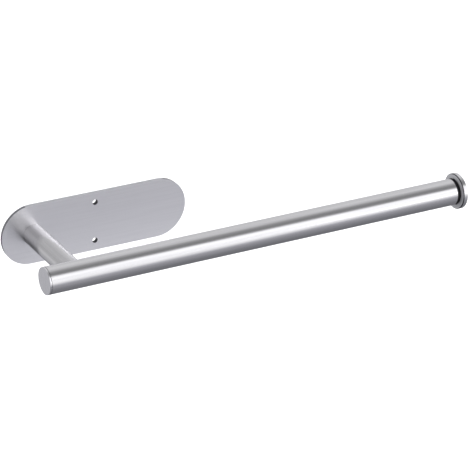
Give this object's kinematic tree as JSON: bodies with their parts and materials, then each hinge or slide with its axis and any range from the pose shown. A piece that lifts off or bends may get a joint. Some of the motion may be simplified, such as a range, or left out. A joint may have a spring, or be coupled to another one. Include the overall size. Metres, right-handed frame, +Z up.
{
  "type": "paper towel holder",
  "caption": "Wall or under-cabinet paper towel holder: a long round steel bar on one short arm from a stadium-shaped back plate, with a disc stop on a dark ring at the free end.",
  "frame": {"origin": "centre of the adhesive tape's back face, which lies flat on the wall", "axes": "+Y points into the wall, +X runs along the bar from the arm to the end stop, +Z is up"},
  "size_m": [0.3405, 0.0871, 0.046],
  "materials": {
    "brushed_steel": "satin stainless steel with a fine linear brush",
    "zinc_steel": "bright zinc plate",
    "turned_aluminium": "as turned, unpainted",
    "turned_brass": "as turned",
    "black_rubber": "matt black",
    "foam_tape": "dark grey acrylic foam tape"
  },
  "bodies": {
    "holder": {"back_plate": "brushed_steel", "adhesive_tape": "foam_tape", "arm_tube": "brushed_steel", "arm_foot_plug": "turned_aluminium", "arm_screw_upper": "zinc_steel", "arm_screw_lower": "zinc_steel", "arm_saddle_plug": "turned_aluminium", "bar_screw": "zinc_steel", "bar_screw_washer": "zinc_steel", "bar_tube": "brushed_steel", "bar_slug": "turned_aluminium", "near_end_cap": "brushed_steel", "stop_insert": "turned_brass"},
    "ring": {"stop_ring": "black_rubber"},
    "stop": {"end_stop": "brushed_steel", "stop_stud": "zinc_steel"}
  },
  "joints": [
    {"name": "stop_travel", "type": "slide", "parent": "holder", "child": "ring", "axis": [1, 0, 0], "range_m": [0, 0.01001]},
    {"name": "stop_turn", "type": "hinge", "parent": "ring", "child": "stop", "pos_m": [0.2632, -0.0736, 0], "axis": [1, 0, 0], "range_deg": [0, 2880]}
  ],
  "couplings": [
    {"joint": "stop_travel", "follows": "stop_turn", "m_per_rad": 0.00019894}
  ]
}
